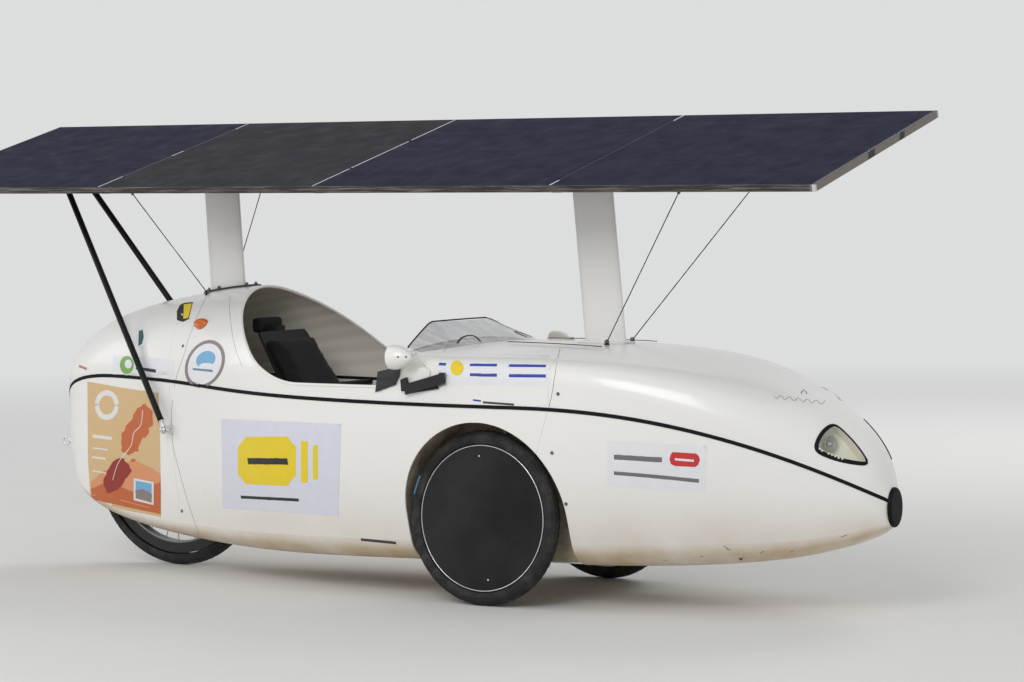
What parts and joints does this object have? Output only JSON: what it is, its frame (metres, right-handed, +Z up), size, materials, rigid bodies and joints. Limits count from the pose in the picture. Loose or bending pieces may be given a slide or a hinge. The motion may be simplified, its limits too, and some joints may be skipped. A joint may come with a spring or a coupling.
{
  "type": "velomobile with solar roof",
  "caption": "Enclosed recumbent tricycle with a smooth white shell and a long solar roof on two masts that tilts sideways.",
  "frame": {"origin": "on the ground, below the middle of the bounding box", "axes": "+X forward to the nose, +Y to the vehicle's left, +Z up"},
  "size_m": [3.259, 0.9128, 1.3895],
  "materials": {
    "body_white": "glossy white gel coat, slightly scuffed",
    "black_rubber": "matt",
    "black_plastic": "matt",
    "clear_lens": "clear",
    "clear_screen": "clear",
    "lamp_silver": "satin reflector",
    "tyre": "matt rubber",
    "wheel_metal": "satin",
    "black_disc": "dark, slightly glossy",
    "steel": "brushed",
    "aluminium": "satin",
    "frame_black": "satin black",
    "solar_blue": "dark blue cells under a clear film",
    "cord_black": "braided",
    "carbon_black": "woven black laminate",
    "seat_fabric": "woven black mesh",
    "mirror": "mirror",
    "chrome": "polished",
    "amber_lens": "moulded amber"
  },
  "bodies": {
    "chassis": {"nose_upper": "body_white", "middle_upper": "body_white", "tail_upper": "body_white", "nose_lower": "body_white", "middle_lower": "body_white", "tail_lower": "body_white", "seam_strip": "black_rubber", "nose_cap": "black_plastic", "tail_cap": "body_white", "headlight_lenses": "clear_lens", "headlamp_bowls": "lamp_silver", "suspension_struts": "steel", "lower_arms": "aluminium", "axle_beam": "aluminium", "wheel_wells": "black_plastic", "rear_well": "black_plastic", "rear_fork": "frame_black", "fork_brackets": "aluminium", "roof_beam": "aluminium", "front_mast": "body_white", "rear_mast": "body_white", "mast_feet": "frame_black", "rear_struts": "frame_black", "tilt_cords": "cord_black", "deck_cord_posts": "frame_black", "seat_shell": "carbon_black", "seat_pad": "seat_fabric", "seat_feet": "black_plastic", "seat_brace": "frame_black", "headrest": "seat_fabric", "windscreen": "clear_screen", "mirror_pods": "body_white", "mirror_glasses": "mirror", "mirror_stalks": "chrome", "indicators": "amber_lens", "tow_eye": "steel"},
    "roof": {"solar_panel_1": "solar_blue", "solar_panel_2": "solar_blue", "solar_panel_3": "solar_blue", "solar_panel_4": "solar_blue", "roof_edge": "aluminium", "roof_crossbars": "aluminium", "roof_cord_eyes": "frame_black"},
    "knuckle_left": {"steering_knuckle_left": "steel"},
    "knuckle_right": {"steering_knuckle_right": "steel"},
    "tie_rod": {"track_rod": "aluminium"},
    "wheel_left": {"front_tyre_left": "tyre", "front_wheel_left": "wheel_metal", "wheel_disc_left": "black_disc"},
    "wheel_right": {"front_tyre_right": "tyre", "front_wheel_right": "wheel_metal", "wheel_disc_right": "black_disc"},
    "wheel_rear": {"rear_tyre": "tyre", "rear_wheel": "wheel_metal"}
  },
  "joints": [
    {"name": "roof_tilt", "type": "hinge", "parent": "chassis", "child": "roof", "pos_m": [-0.021, 0, 1.23825], "axis": [1, 0, -0.0096], "range_deg": [-40.24, 9.76], "deforming": ["tilt_cords"]},
    {"name": "steer_left", "type": "hinge", "parent": "chassis", "child": "knuckle_left", "pos_m": [0.52, 0.23308, 0.24062], "axis": [0, -0.0872, 0.9962], "range_deg": [-12, 12]},
    {"name": "steer_right", "type": "hinge", "parent": "chassis", "child": "knuckle_right", "pos_m": [0.52, -0.23308, 0.24062], "axis": [0, 0.0872, 0.9962], "range_deg": [-12, 12]},
    {"name": "track_rod_slide", "type": "slide", "parent": "chassis", "child": "tie_rod", "axis": [0, 1, 0], "range_m": [-0.0168, 0.0168]},
    {"name": "front_wheel_left_spin", "type": "hinge", "parent": "knuckle_left", "child": "wheel_left", "pos_m": [0.52, 0.321, 0.2443], "axis": [0, 0.9991, 0.0419], "continuous": true},
    {"name": "front_wheel_right_spin", "type": "hinge", "parent": "knuckle_right", "child": "wheel_right", "pos_m": [0.52, -0.321, 0.2443], "axis": [0, 0.9991, -0.0419], "continuous": true},
    {"name": "rear_wheel_spin", "type": "hinge", "parent": "chassis", "child": "wheel_rear", "pos_m": [-0.844, 0, 0.333], "axis": [0, 1, 0], "continuous": true}
  ],
  "couplings": [
    {"joint": "steer_right", "follows": "steer_left", "ratio": 1},
    {"joint": "track_rod_slide", "follows": "steer_left", "m_per_rad": -0.079696}
  ]
}
